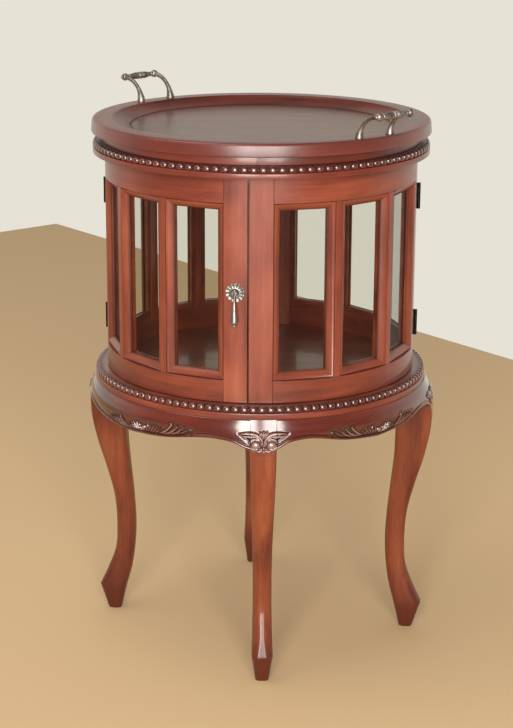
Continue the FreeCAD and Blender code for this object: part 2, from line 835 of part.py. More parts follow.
def grip():
    """A turned grip: a swelling each side of a ringed middle, with a narrow neck at each end."""
    ring_half = grip_ring_count * grip_ring_width / 2
    swell = (grip_half + ring_half) / 2
    side = [
        ((0, grip_half), (grip_neck_radius, grip_half)),
        ((grip_neck_radius, grip_half), (grip_radius, swell), (grip_neck_radius, ring_half)),
        ((grip_neck_radius, ring_half), (grip_radius, ring_half)),
        ((grip_radius, ring_half), (grip_radius, -ring_half)),
        ((grip_radius, -ring_half), (grip_neck_radius, -ring_half)),
        ((grip_neck_radius, -ring_half), (grip_radius, -swell), (grip_neck_radius, -grip_half)),
        ((grip_neck_radius, -grip_half), (0, -grip_half)),
        ((0, -grip_half), (0, grip_half)),
    ]
    bar = ring(side)
    bar.rotate(ORIGIN, Vector(0, 1, 0), 90)
    bar.translate(Vector(0, -grip_out, grip_z))
    return bar


def handle_nodes(name, azimuth):
    sides = (-handle_spacing / 2, handle_spacing / 2)
    posts = []
    for along in sides:
        post = turned(handle_post(along), azimuth)
        posts.append(post.cut(handle_screw(azimuth, along, glue_gap)))
    return {f"{name}_handle_posts": compound(posts), f"{name}_handle_grip": turned(grip(), azimuth)}


def tray_nodes():
    nodes = {
        "tray_rim": rim(),
        "tray_base": disc(tray_rebate_radius - glue_gap, tray_z, tray_floor_z),
        "tray_handle_screws": compound(handle_screw(azimuth, along, 0) for azimuth, along in handle_places()),
    }
    for name, azimuth in zip(("front", "rear"), handle_azimuths):
        nodes.update(handle_nodes(name, azimuth))
    return nodes


def all_nodes():
    nodes = {}
    nodes.update(leg_nodes())
    nodes.update(base_nodes())
    nodes.update(back_nodes())
    nodes.update(door_nodes("left_door", drum_turn - quarter / 2, -1))
    nodes.update(door_nodes("right_door", drum_turn + quarter / 2, 1))
    nodes.update(pull_nodes())
    shank_hole = turned(pull_shank(glue_gap), pull_azimuth)
    nodes["left_door_meeting_stile"] = nodes["left_door_meeting_stile"].cut(shank_hole)
    nodes.update(tray_nodes())
    return nodes


os.makedirs("parts", exist_ok=True)
for node, shape in all_nodes().items():
    shape.exportStep(f"parts/{node}.step")
    print(node, len(shape.Solids), round(shape.Volume), "valid" if shape.isValid() else "NOT VALID")
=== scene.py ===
import math

import bmesh
import bpy
import numpy as np
from mathutils import Matrix, Vector


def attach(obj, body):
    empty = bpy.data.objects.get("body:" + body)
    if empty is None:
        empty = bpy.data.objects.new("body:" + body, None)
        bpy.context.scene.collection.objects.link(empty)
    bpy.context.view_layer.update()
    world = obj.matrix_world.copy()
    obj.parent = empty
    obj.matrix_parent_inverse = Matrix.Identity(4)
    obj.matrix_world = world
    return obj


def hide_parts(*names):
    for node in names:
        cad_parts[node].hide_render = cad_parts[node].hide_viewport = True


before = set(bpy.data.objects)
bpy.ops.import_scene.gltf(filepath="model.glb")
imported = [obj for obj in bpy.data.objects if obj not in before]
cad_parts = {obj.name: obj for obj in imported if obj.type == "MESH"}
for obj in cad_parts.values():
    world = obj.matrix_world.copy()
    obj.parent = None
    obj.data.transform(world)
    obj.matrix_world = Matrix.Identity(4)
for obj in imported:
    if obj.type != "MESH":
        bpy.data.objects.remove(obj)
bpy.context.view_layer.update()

# A round tea table: the looks of its pieces. Sizes are in millimetres and repeat the solids' sizes.
# An azimuth is in degrees, from the front towards +X.

MM = 0.001

# Heights: the legs' top, the cabinet's floor, head and top, the tray's underside and rim.
LEG_TOP = 403.0
FLOOR = 420.0
HEAD = 743.3
TOP = 760.0
TRAY = 775.0
RIM = 791.7

# The drum's wall: its outside and inside, its doors' edges, and its windows.
DRUM = 230.5
BORE = 210.5
DRUM_TURN = -4.3
DOOR_LOW = FLOOR + 1.2
DOOR_HIGH = HEAD - 1.5
GAPS = {"hinge": 1.2, "meeting": 1.0}
STILE_TURN = math.degrees(35.0 / DRUM)
MULLION_TURN = math.degrees(10.0 / DRUM)
WINDOW_TURN = (90.0 - 2 * STILE_TURN - 2 * MULLION_TURN) / 3
WINDOW_HALF = DRUM * math.sin(math.radians(WINDOW_TURN / 2))
WINDOW_OUT = DRUM * math.cos(math.radians(WINDOW_TURN / 2))
WINDOW_LOW = FLOOR + 33.0
WINDOW_HIGH = HEAD - 37.3
STICKING = 11.0
SIGHT_HALF = WINDOW_HALF - STICKING

# The legs' azimuths, their toes' height, half a leg's width with a hair's gap, and the radius at which
# distances round the aprons are measured.
LEGS = {"front": 1.2, "right": 82.0, "back": 182.5, "left": 261.5}
TOE = 40.0
LEG_SIDE = 18.51
BAND = 250.0

# The pull: its azimuth and height, and how far out its pin lies.
PULL_TURN = DRUM_TURN - math.degrees(18.0 / DRUM)
PULL_HEIGHT = 581.0
PIVOT = 238.3


# Arrays of points

def grid(x, y, z):
    """Points from three arrays of coordinates, each stretched to their common shape."""
    return np.stack(np.broadcast_arrays(x, y, z), -1)


def around(radius, azimuth, height):
    """Points at a radius from the drum's axis, an azimuth and a height."""
    turn = np.radians(azimuth)
    return grid(radius * np.sin(turn), -radius * np.cos(turn), height)


def azimuth_of(points):
    return np.degrees(np.arctan2(points[..., 0], -points[..., 1]))


def radius_of(points):
    return np.hypot(points[..., 0], points[..., 1])


def within_half_turn(angle):
    return (angle + 180.0) % 360.0 - 180.0


def full_turn(count):
    """Equal steps once round, in radians."""
    return np.linspace(0.0, 2 * np.pi, count, endpoint=False)


def turned(points, azimuth):
    """Points drawn at the front (X along the tangent, -Y outwards) turned to an azimuth."""
    c, s = math.cos(math.radians(azimuth)), math.sin(math.radians(azimuth))
    x, y, z = points[..., 0], points[..., 1], points[..., 2]
    return grid(c * x - s * y, s * x + c * y, z)


def smoothstep(low, high, x):
    t = np.clip((x - low) / (high - low), 0.0, 1.0)
    return t * t * (3.0 - 2.0 * t)


def smooth_line(x, knots, values):
    """A smooth line through points: cubic spans whose slope at each knot is the mean of the slopes
    beside it."""
    knots, values = np.asarray(knots, float), np.asarray(values, float)
    slope = np.gradient(values, knots)
    i = np.clip(np.searchsorted(knots, x) - 1, 0, len(knots) - 2)
    h = knots[i + 1] - knots[i]
    t = np.clip((x - knots[i]) / h, 0.0, 1.0)
    rise = (1 + 2 * t) * (1 - t) ** 2 * values[i] + t * t * (3 - 2 * t) * values[i + 1]
    return rise + h * (t * (1 - t) ** 2 * slope[i] + t * t * (t - 1) * slope[i + 1])


def through(points, n=14):
    """A smooth line through rows of values, by a cubic span between each two rows."""
    points = np.asarray(points, float)
    at = np.linspace(0.0, len(points) - 1.0, n)
    return np.stack([smooth_line(at, np.arange(len(points)), column) for column in points.T], -1)


def rounded(points, radius, steps=4):
    """A closed outline of (across, up) points with each corner replaced by a short curve: from a point at
    the radius before the corner to one at the radius after it, bending towards the corner."""
    points = np.asarray(points, float)
    before, after = np.roll(points, 1, 0) - points, np.roll(points, -1, 0) - points
    reach = np.broadcast_to(np.asarray(radius, float), (len(points),))[:, None]
    a = points + before / np.linalg.norm(before, axis=1)[:, None] * reach
    b = points + after / np.linalg.norm(after, axis=1)[:, None] * reach
    t = np.linspace(0.0, 1.0, steps)[None, :, None]
    curve = (1 - t) ** 2 * a[:, None] + 2 * t * (1 - t) * points[:, None] + t * t * b[:, None]
    return curve.reshape(-1, 2)


# Meshes

def quads(rows, cols, close_rows, close_cols):
    """Corner numbers of a grid's quads; a closed grid goes on from its last row or column to the first."""
    r = np.arange(rows if close_rows else rows - 1)[:, None]
    c = np.arange(cols if close_cols else cols - 1)[None, :]
    r2, c2 = (r + 1) % rows, (c + 1) % cols
    corners = (r * cols + c, r * cols + c2, r2 * cols + c2, r2 * cols + c)
    return np.stack(np.broadcast_arrays(*corners), -1).reshape(-1, 4)


class Grids:
    """Grids of points, in millimetres, that make up one piece."""

    def __init__(self):
        self.points, self.faces, self.reliefs, self.count = [], [], [], 0

    def add(self, points, close_rows=False, close_cols=True, relief=0.0):
        """One grid, or a stack of equal grids, with a carved height for each point."""
        rows, cols = points.shape[-3:-1]
        stack = points.reshape(-1, rows * cols, 3)
        faces = quads(rows, cols, close_rows, close_cols)
        starts = self.count + rows * cols * np.arange(len(stack))[:, None, None]
        self.points.append(stack.reshape(-1, 3))
        self.faces.append((faces[None] + starts).reshape(-1, 4))
        self.reliefs.append(np.broadcast_to(relief, points.shape[:-1]).reshape(-1))
        self.count += rows * cols * len(stack)
        return self

    def join(self, other):
        """The grids of another piece, added to these."""
        self.points += other.points
        self.faces += [faces + self.count for faces in other.faces]
        self.reliefs += other.reliefs
        self.count += other.count
        return self


def put(name, data):
    """A new object in the scene."""
    thing = bpy.data.objects.new(name, data)
    bpy.context.scene.collection.objects.link(thing)
    return thing


def make(name, body, grids, material, grain=None, slot="mahogany", nodes=(), sharp=38.0, edge=0.0):
    """One piece from its grids: doubles merged, open ends filled, faces turned outwards, and the grain's
    own coordinates stored on each face corner."""
    mesh = bpy.data.meshes.new(name)
    points = np.concatenate(grids.points) * MM
    mesh.from_pydata(points.tolist(), [], np.concatenate(grids.faces).tolist())
    relief = mesh.attributes.new("relief", "FLOAT", "POINT")
    relief.data.foreach_set("value", np.concatenate(grids.reliefs).astype(np.float32))
    shape = bmesh.new()
    shape.from_mesh(mesh)
    bmesh.ops.remove_doubles(shape, verts=shape.verts, dist=4e-6)
    bmesh.ops.dissolve_degenerate(shape, edges=shape.edges, dist=1e-6)
    bmesh.ops.holes_fill(shape, edges=[e for e in shape.edges if e.is_boundary], sides=0)
    bmesh.ops.recalc_face_normals(shape, faces=shape.faces)
    shape.to_mesh(mesh)
    shape.free()
    mesh.shade_smooth()
    mesh.set_sharp_from_angle(angle=math.radians(sharp))
    piece = put(name, mesh)
    if grain is not None:
        store_grain(mesh, grain)
    if edge:
        bevel = piece.modifiers.new("edge", "BEVEL")
        bevel.width = edge * MM
        bevel.segments = 2
        bevel.limit_method = "ANGLE"
        bevel.angle_limit = math.radians(sharp)
        bevel.harden_normals = True
    mesh.materials.append(material)
    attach(piece, body)
    if nodes:
        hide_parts(*nodes)


def dress(node, *looks, **more):
    """One piece that takes the place of one node."""
    make(f"{node}_dressed", *looks, nodes=[node], **more)


# Grain. A seed moves a piece to its own place in the wood.

def read(items, name, kind=np.float32, width=1):
    """One property of all the items of a mesh, with as many columns as its width."""
    values = np.empty(len(items) * width, kind)
    items.foreach_get(name, values)
    return values.reshape(-1, width)


def store_grain(mesh, grain):
    """Puts (along the grain, across it, into it), in metres, on every face corner."""
    corners = read(mesh.loops, "vertex_index", np.int32)[:, 0]
    counts = read(mesh.polygons, "loop_total", np.int32)[:, 0]
    points = read(mesh.vertices, "co", width=3) / MM
    centres = read(mesh.polygons, "center", width=3) / MM
    values = grain(points[corners], np.repeat(centres, counts, axis=0)) * MM
    layer = mesh.attributes.new("grain", "FLOAT_VECTOR", "CORNER")
    layer.data.foreach_set("vector", values.astype(np.float32).ravel())


def upright_grain(middle, seed):
    """Grain that runs up a piece near one azimuth: height, then distance round, then radius."""
    def at(points, centres):
        across = np.radians(within_half_turn(azimuth_of(points) - middle)) * DRUM
        return np.stack([points[:, 2] + 731.0 * seed, across + 97.0 * seed, radius_of(points)], -1)
    return at


def bent_grain(middle, seed, lengths=1):
    """Grain that runs round the axis, from a joint at an azimuth; each length of a ring has its own."""
    def at(points, centres):
        centre = (azimuth_of(centres) - middle) % 360.0
        turn = centre + within_half_turn(azimuth_of(points) - middle - centre)
        number = np.floor(centre * lengths / 360.0) + seed
        along = np.radians(turn) * DRUM + 613.0 * number
        return np.stack([along, points[:, 2] + 89.0 * number, radius_of(points)], -1)
    return at


def straight_grain(turn, seed):
    """Grain that runs straight across a board, turned from +X."""
    c, s = math.cos(math.radians(turn)), math.sin(math.radians(turn))
    def at(points, centres):
        x, y = points[:, 0], points[:, 1]
        return np.stack([c * x + s * y + 500.0 * seed, c * y - s * x, points[:, 2]], -1)
    return at


def sticking_grain(middles, seed):
    """Grain along each side of the mitred frames at some azimuths: up the sides, and across the ends."""
    def at(points, centres):
        nearest = within_half_turn(azimuth_of(centres)[:, None] - np.asarray(middles)[None])
        turn = np.take_along_axis(nearest, np.abs(nearest).argmin(1)[:, None], 1)[:, 0]
        across = np.radians(within_half_turn(azimuth_of(points) - azimuth_of(centres)) + turn) * DRUM
        level = np.abs(turn) < 2.0
        along = np.where(level, across, points[:, 2])
        cross = np.where(level, points[:, 2], across)
        return np.stack([along + 411.0 * seed, cross, radius_of(points)], -1)
    return at


# Materials

class Wire:
    """A socket; arithmetic on it adds Math nodes to its material."""

    def __init__(self, finish, socket):
        self.finish, self.socket = finish, socket

    def maths(self, operation, first, second):
        return self.finish.node("Math", {"operation": operation}, {0: first, 1: second})

    def __add__(self, other):
        return self.maths("ADD", self, other)

    def __mul__(self, other):
        return self.maths("MULTIPLY", self, other)

    def __sub__(self, other):
        return self.maths("SUBTRACT", self, other)

    def __rsub__(self, other):
        return self.maths("SUBTRACT", other, self)


class Finish:
    """A material, or the world, and its nodes."""

    def __init__(self, owner):
        owner.use_nodes = True
        self.owner, self.tree = owner, owner.node_tree
        self.tree.nodes.clear()

    def node(self, kind, settings, inputs, out=0):
        """A node with its settings, then its sockets' values or links; gives one output."""
        node = self.tree.nodes.new("ShaderNode" + kind)
        for key, value in settings.items():
            if key == "stops":
                ramp = node.color_ramp
                while len(ramp.elements) < len(value):
                    ramp.elements.new(1.0)
                for stop, (place, colour) in zip(ramp.elements, value):
                    stop.position, stop.color = place, (*colour, 1.0)
            else:
                setattr(node, key, value)
        for key, value in inputs.items():
            socket = node.inputs[key]
            if isinstance(value, Wire):
                self.tree.links.new(value.socket, socket)
            else:
                socket.default_value = value
        return Wire(self, node.outputs[out])

    def point(self, axis=None, kind="Object"):
        """The point on the piece, in metres, or one of its coordinates."""
        place = self.node("TexCoord", {}, {}, out=kind)
        return self.node("SeparateXYZ", {}, {0: place}, out=axis) if axis else place

    def stored(self, name, out="Fac"):
        """What the mesh stores under a name."""
        return self.node("Attribute", {"attribute_name": name}, {}, out=out)

    def noise(self, vector, scale, detail=2.0, roughness=0.5, distortion=0.0):
        stretched = self.node("Mapping", {}, {"Vector": vector, "Scale": scale})
        inputs = {"Vector": stretched, "Scale": 1.0, "Detail": detail, "Roughness": roughness}
        return self.node("TexNoise", {}, {**inputs, "Distortion": distortion})

    def ramp(self, value, places, colours):
        return self.node("ValToRGB", {"stops": list(zip(places, colours))}, {0: value})

    def mask(self, value, low, high, slope="SMOOTHSTEP"):
        settings = {"interpolation_type": slope}
        return self.node("MapRange", settings, {"Value": value, "From Min": low, "From Max": high})

    def mix(self, factor, first, second):
        return self.node("Mix", {"data_type": "RGBA"}, {0: factor, 6: first, 7: second}, out=2)

    def bump(self, strength, distance, height):
        return self.node("Bump", {}, {"Strength": strength, "Distance": distance, "Height": height})

    def close(self, **inputs):
        """Ends the material in a Principled shader with these sockets."""
        names = {key.replace("_", " "): value for key, value in inputs.items()}
        return self.end(self.node("BsdfPrincipled", {}, names))

    def end(self, shader, output="OutputMaterial"):
        last = self.tree.nodes.new("ShaderNode" + output)
        self.tree.links.new(shader.socket, last.inputs["Surface"])
        return self.owner


# Each wood's dark, rich and pale stain, and where they lie on the scale of its grain.
STAINS = {
    "stile": ((0.14, 0.026, 0.013), (0.23, 0.046, 0.022), (0.32, 0.078, 0.036)),
    "rail": ((0.11, 0.019, 0.011), (0.2, 0.036, 0.018), (0.3, 0.068, 0.03)),
    "sticking": ((0.12, 0.021, 0.011), (0.22, 0.042, 0.019), (0.32, 0.078, 0.034)),
    "leg": ((0.1, 0.02, 0.01), (0.19, 0.042, 0.018), (0.29, 0.078, 0.033)),
    "apron": ((0.05, 0.0065, 0.0045), (0.1, 0.0135, 0.0075), (0.16, 0.027, 0.014)),
    "moulding": ((0.1, 0.015, 0.009), (0.18, 0.029, 0.015), (0.27, 0.055, 0.026)),
    "bead": ((0.05, 0.007, 0.006), (0.095, 0.014, 0.01), (0.15, 0.028, 0.016)),
    "well": ((0.055, 0.016, 0.01), (0.1, 0.03, 0.017), (0.16, 0.056, 0.031)),
    "tray": ((0.06, 0.009, 0.006), (0.115, 0.017, 0.011), (0.18, 0.036, 0.02)),
    "board": ((0.1, 0.027, 0.016), (0.185, 0.05, 0.028), (0.28, 0.085, 0.046)),
    "trim": ((0.1, 0.02, 0.01), (0.18, 0.038, 0.017), (0.26, 0.068, 0.03)),
}
TONES = (0.37, 0.5, 0.65)
PAINTED_HOLLOW_SHADE = (0.014, 0.005, 0.003, 1.0)
PAINTED_TOP_HIGHLIGHT = (0.66, 0.5, 0.44, 1.0)
PAINTED_RIM_SHEEN = (0.22, 0.05, 0.034, 1.0)


def wood(kind, gloss=0.34, coat=0.35, carved=False, board=False, crown=None, outside=None, shine=0.5,
         haze=0.08, lacquer=1.5):
    """Stained and polished mahogany: clouds of darker and brighter stain, long soft streaks along the
    grain, fine lines and short dark pores, under a lacquer with its own haze and strength. Carved pieces
    have painted shade in their hollows and a painted highlight on their tops. A crown is the stain of a
    leg's top, where it meets the aprons; its foot is darker. Past an outside radius the wood is glossier,
    and a little brighter as a painted sheen."""
    dark = np.array(STAINS[kind][0])
    f = Finish(bpy.data.materials.new(f"{kind}_mahogany"))
    place = f.point() if board else f.stored("grain", "Vector")
    stain = f.noise(place, (7.0, 19.0, 19.0), 3.0, 0.55, 0.4)
    bands = f.noise(place, (3.0, 48.0, 48.0), 3.0, 0.55, 0.5)
    streaks = f.noise(place, (9.0, 210.0, 210.0), 3.0, 0.6, 0.2)
    lines = f.noise(place, (26.0, 800.0, 800.0), 2.0, 0.5)
    pores = f.noise(place, (130.0, 2300.0, 2300.0), 1.0, 0.5)
    tone = stain * 0.48 + bands * 0.26 + streaks * 0.18 + lines * 0.08
    colour = f.ramp(tone, TONES, STAINS[kind])
    rough = lines * 0.08 + stain * 0.1 + (gloss - 0.09)
    if crown:
        height = f.point("Z")
        top_part = f.mask(height, 0.35, 0.37)
        foot_part = 1.0 - f.mask(height + stain * 0.04, 0.03, 0.15)
        colour = f.mix(top_part, colour, f.ramp(tone, TONES, STAINS[crown]))
        colour = f.mix(foot_part * 0.9, colour, (*(dark * (0.75, 0.7, 0.8)), 1.0))
        rough = rough - top_part * 0.1
        coat = top_part * (1.0 - coat) + coat
    pore = f.mask(pores, 0.6, 0.74)
    colour = f.mix(pore * 0.4, colour, (*(dark * 0.4), 1.0))
    if outside:
        x, y = f.point("X"), f.point("Y")
        face = f.mask(x * x + y * y, (outside - 0.002) ** 2, outside ** 2)
        coat = face * 0.5 + coat
        # painted sheen: besides its extra coat, the outside face is mixed a little towards a brighter red
        colour = f.mix(face * 0.2, colour, PAINTED_RIM_SHEEN)
    if carved:
        relief = f.stored("relief")
        hollow = 1.0 - f.mask(relief, -0.9, -0.05)
        top = f.mask(relief, 0.45, 0.95)
        # painted shade: the hollows of carved pieces are mixed towards near-black
        colour = f.mix(hollow * 0.85, colour, PAINTED_HOLLOW_SHADE)
        # painted highlight: the tops of carved pieces are mixed towards a pale pink
        colour = f.mix(top * 0.26, colour, PAINTED_TOP_HIGHLIGHT)
        rough = rough + hollow * 0.3 + top * 0.06
    bump = f.bump(0.07, 0.0006, lines * 0.3 + pore * -0.7)
    return f.close(Base_Color=colour, Roughness=rough, Normal=bump, Coat_Weight=coat, Coat_Roughness=haze,
                   Specular_IOR_Level=shine, Coat_IOR=lacquer)


def metal(name, dark, bright, rough, carved=False):
    """Cast and rubbed metal: darker in blotches, brighter where hands rub it, with fine casting bumps. A
    carved piece has painted shade, nearly black, in its hollows."""
    f = Finish(bpy.data.materials.new(name))
    blotch = f.noise(f.point(), (90.0, 90.0, 90.0), 4.0, 0.6)
    fine = f.noise(f.point(), (900.0, 900.0, 900.0), 2.0, 0.6)
    colour = f.ramp(blotch * 0.8 + fine * 0.2, (0.32, 0.62), (dark, bright))
    if carved:
        hollow = 1.0 - f.mask(f.stored("relief"), -0.6, 0.0)
        # painted shade: the hollows of a carved piece are mixed nearly to black
        colour = f.mix(hollow * 0.92, colour, (0.02, 0.02, 0.021, 1.0))
    bump = f.bump(0.12, 0.0004, fine)
    return f.close(Base_Color=colour, Metallic=1.0, Roughness=fine * 0.22 + (rough - 0.11), Normal=bump)


def window_glass():
    """Thin clear panes: see-through, with a reflection that grows towards the edge of view."""
    f = Finish(bpy.data.materials.new("window_glass"))
    ripple = f.noise(f.point(), (9.0, 9.0, 7.0), 2.0, 0.5)
    smear = f.noise(f.point(), (40.0, 40.0, 22.0), 4.0, 0.6)
    shine = f.node("BsdfPrincipled", {}, {
        "Base Color": (0.02, 0.025, 0.024, 1.0), "Roughness": smear * 0.05,
        "Normal": f.bump(0.05, 0.002, ripple), "Specular IOR Level": 1.0})
    clear = f.node("BsdfTransparent", {}, {"Color": (0.975, 0.972, 0.955, 1.0)})
    edge = f.node("LayerWeight", {}, {"Blend": 0.5}, out="Facing")
    gain = edge.maths("POWER", edge, 5.0) * 0.9 + 0.035
    return f.end(f.node("MixShader", {}, {0: gain, 1: clear, 2: shine}))


stile_wood = wood("stile")
rail_wood = wood("rail")
edge_wood = wood("sticking", carved=True)
leg_wood = wood("leg", 0.3, carved=True, crown="apron", shine=0.15, haze=0.13, lacquer=1.7)
apron_wood = wood("apron", 0.2, 1.0, carved=True, shine=0.15, haze=0.13, lacquer=1.7)
ring_wood = wood("moulding", 0.36, 0.5, carved=True, haze=0.16)
bead_wood = wood("bead", 0.3, 1.0, shine=1.0)
well_wood = wood("well", 0.32, 0.2, shine=0.25, haze=0.2)
tray_wood = wood("tray", 0.32, 0.2, carved=True, outside=0.2475, shine=0.25, haze=0.32, lacquer=1.7)
board_wood = wood("board", 0.36, 0.4, board=True)
trim_wood = wood("trim", 0.4, 0.2, board=True)
pewter = metal("worn_pewter", (0.12, 0.105, 0.092), (0.44, 0.4, 0.365), 0.44)
# a lighter copy of the handles' pewter for the pull, as painted light on it
pewter_with_painted_light = metal("pewter_painted_lighter", (0.17, 0.16, 0.148), (0.46, 0.44, 0.41), 0.42)
silver = metal("rubbed_silver", (0.2, 0.198, 0.19), (0.47, 0.465, 0.45), 0.46, carved=True)
black_iron = metal("black_iron", (0.008, 0.008, 0.008), (0.03, 0.028, 0.027), 0.42)
steel = metal("plain_steel", (0.35, 0.35, 0.35), (0.62, 0.62, 0.61), 0.32)
glass = window_glass()


# The drum's wall

# How far the edges are rounded.
WALL_EDGE = 0.8
MULLION_EDGE = 0.7


def wall_piece(first, last, low, high, first_gap=0.0, last_gap=0.0):
    """A piece of the drum's wall between two azimuths, each end moved in by a gap along its tangent: its
    plan, the outer arc and back along the inner arc, carried straight up."""
    n = max(4, int(abs(last - first) / 1.1))
    t = np.linspace(0.0, 1.0, n)
    loops = []
    for radius, way in ((DRUM, 1), (BORE, -1)):
        a = first + math.degrees(math.asin(first_gap / radius))
        b = last - math.degrees(math.asin(last_gap / radius))
        loops.append(np.stack([np.full(n, radius), a + (b - a) * t], -1)[::way])
    plan = np.concatenate(loops)
    heights = np.array([low, high])
    points = around(plan[None, :, 0], plan[None, :, 1], heights[:, None])
    return Grids().add(points)


def sticking_profile():
    """The moulded edge round a window, as (out from the sight line to the side, the same up and down, out
    from the axis): a quirk, a soft ovolo, a land on the glass, and the rebate's outside."""
    slope = math.tan(math.radians(WINDOW_TURN / 2))
    land, inside, face = WINDOW_OUT - 9.0, 209.4, WINDOW_OUT - 1.6
    t = np.linspace(0.0, 1.0, 8)
    ovolo = np.stack([9.7 - 9.7 * t, 9.7 - 9.7 * t, WINDOW_OUT - 0.4 - 6.4 * t ** 1.35], -1)
    rebate = [
        (0.0, 0.0, land), (6.0, 6.0, land), (6.0, 6.0, inside),
        (inside * slope - SIGHT_HALF - 0.1, 10.9, inside),
        (face * slope - SIGHT_HALF - 0.1, 10.9, face), (10.1, 10.1, face),
    ]
    return np.concatenate([ovolo, rebate])


def sticking(middle):
    """The moulded edge of one window: the profile carried round its four sides, mitred at the corners."""
    profile = sticking_profile()
    across = np.array([-1.0, 1.0, 1.0, -1.0])
    upper = np.array([0.0, 0.0, 1.0, 1.0])
    low = WINDOW_LOW + STICKING - profile[:, 1:2]
    high = WINDOW_HIGH - STICKING + profile[:, 1:2]
    x = across[None] * (SIGHT_HALF + profile[:, :1])
    return turned(grid(x, -profile[:, 2:], low + upper[None] * (high - low)), middle)


def quarter(middle, low, high, first_gap, last_gap):
    """One quarter of the drum's wall round an azimuth: its stiles and rails by name, its mullions, the
    moulded edges of its three windows, and the windows' azimuths."""
    middle = middle + DRUM_TURN
    windows = [middle + turn * (WINDOW_TURN + MULLION_TURN) for turn in (-1, 0, 1)]
    first, last = middle - 45.0, middle + 45.0
    inner_first, inner_last = first + STILE_TURN, last - STILE_TURN
    frames = {
        "first_stile": wall_piece(first, inner_first, low, high, first_gap, 0.0),
        "last_stile": wall_piece(inner_last, last, low, high, 0.0, last_gap),
        "top_rail": wall_piece(inner_first, inner_last, WINDOW_HIGH, high),
        "bottom_rail": wall_piece(inner_first, inner_last, low, WINDOW_LOW),
    }
    mullions = Grids()
    for window in windows[:-1]:
        start = window + WINDOW_TURN / 2
        mullions.join(wall_piece(start, start + MULLION_TURN, WINDOW_LOW, WINDOW_HIGH))
    relief = np.zeros(len(sticking_profile()))
    # painted shade: the low relief at the ovolo's foot and the quirk darkens a line round each window
    relief[[6, 7, -1, -2]] = [-0.35, -0.7, -0.9, -0.9]  # the ovolo's foot and the quirk
    edges = Grids().add(np.stack([sticking(window) for window in windows]), close_rows=True,
                        relief=relief[:, None])
    return frames, mullions, edges, windows


def doors():
    """The two doors."""
    rows = (("left_door", 315.0, "hinge", "meeting"), ("right_door", 45.0, "meeting", "hinge"))
    for number, (door, middle, left, right) in enumerate(rows):
        frames, mullions, edges, windows = quarter(middle, DOOR_LOW, DOOR_HIGH, GAPS[left], GAPS[right])
        first, last, seed = windows[0] - 20.0, windows[2] + 20.0, 7 * number
        pieces = (
            (f"{left}_stile", "first_stile", stile_wood, upright_grain(first, seed + 1)),
            (f"{right}_stile", "last_stile", stile_wood, upright_grain(last, seed + 2)),
            ("top_rail", "top_rail", rail_wood, bent_grain(first, seed + 3)),
            ("bottom_rail", "bottom_rail", rail_wood, bent_grain(first, seed + 4)),
        )
        for part, key, finish, grain in pieces:
            dress(f"{door}_{part}", door, frames[key], finish, grain, edge=WALL_EDGE)
        dress(f"{door}_mullions", door, mullions, stile_wood, upright_grain(windows[1], 31 + number),
              edge=MULLION_EDGE)
        make(f"{door}_sticking", door, edges, edge_wood, sticking_grain(windows, 41 + number), sharp=30.0)


def back_half():
    """The fixed back of the drum: its posts, rails, mullions and moulded edges."""
    right, right_bars, right_edges, right_windows = quarter(135.0, FLOOR, HEAD, GAPS["hinge"], 0.0)
    left, left_bars, left_edges, left_windows = quarter(225.0, FLOOR, HEAD, 0.0, GAPS["hinge"])
    middle = 180.0 + DRUM_TURN
    posts = (
        ("back_post", wall_piece(middle - STILE_TURN, middle + STILE_TURN, FLOOR, HEAD), middle, 51),
        ("right_hinge_post", right["first_stile"], 90.0, 52),
        ("left_hinge_post", left["last_stile"], 270.0, 53),
    )
    for name, grids, azimuth, seed in posts:
        dress(name, "cabinet", grids, stile_wood, upright_grain(azimuth, seed), edge=WALL_EDGE)
    for rail, seed in (("top_rail", 54), ("bottom_rail", 56)):
        dress(f"back_{rail}s", "cabinet", right[rail].join(left[rail]), rail_wood,
              bent_grain(85.0, seed, 4), edge=WALL_EDGE)
    dress("back_mullions", "cabinet", right_bars.join(left_bars), stile_wood, upright_grain(180.0, 58),
          edge=MULLION_EDGE)
    make("back_sticking", "cabinet", right_edges.join(left_edges), edge_wood,
         sticking_grain(right_windows + left_windows, 59), sharp=30.0)


# Turned rings: mouldings, edging and tray

# The azimuth of a ring's first joint, and half of a bead's size along, out and up.
JOINT = -1.4
BEAD = (5.9, 5.2, 4.8)


def lathe(profile, first=0.0, last=360.0, step=1.5, relief=0.0):
    """A closed outline of (radius, height) points carried round the axis, all the way or between two
    azimuths."""
    whole = last - first >= 360.0
    n = int((last - first) / step) + 1
    azimuths = np.linspace(first, last, n, endpoint=not whole)
    points = around(profile[:, 0][:, None], azimuths[None], profile[:, 1][:, None])
    return Grids().add(points, close_rows=True, close_cols=whole, relief=np.reshape(relief, (-1, 1)))


def egg(rows, cols, power=2.0, tip=0.0):
    """A ball of radius 1 as (across, out, up) points, its poles up and down: with a power above 2 its faces
    are a little flatter, and it is then tipped back by an angle, to face outwards and up."""
    rise = np.linspace(-np.pi / 2, np.pi / 2, rows)[:, None]
    turn = full_turn(cols)[None]
    shape = grid(np.cos(rise) * np.sin(turn), np.cos(rise) * np.cos(turn), np.sin(rise))
    shape = shape / (np.abs(shape) ** power).sum(-1, keepdims=True) ** (1.0 / power)
    c, s = math.cos(math.radians(tip)), math.sin(math.radians(tip))
    across, out, up = shape[..., 0], shape[..., 1], shape[..., 2]
    return grid(across, c * out - s * up, s * out + c * up)


def bead_row(count, radius, height, start):
    """A ring of egg-shaped beads: a ball stretched along the tangent, repeated round the axis."""
    bead = egg(11, 18, 2.6, 15.0) * BEAD
    x, out, up = bead[..., 0], radius + bead[..., 1], height + bead[..., 2]
    turn = np.radians(start + 360.0 * np.arange(count) / count)[:, None, None]
    c, s = np.cos(turn), np.sin(turn)
    return Grids().add(grid(c * x + s * out, s * x - c * out, up))


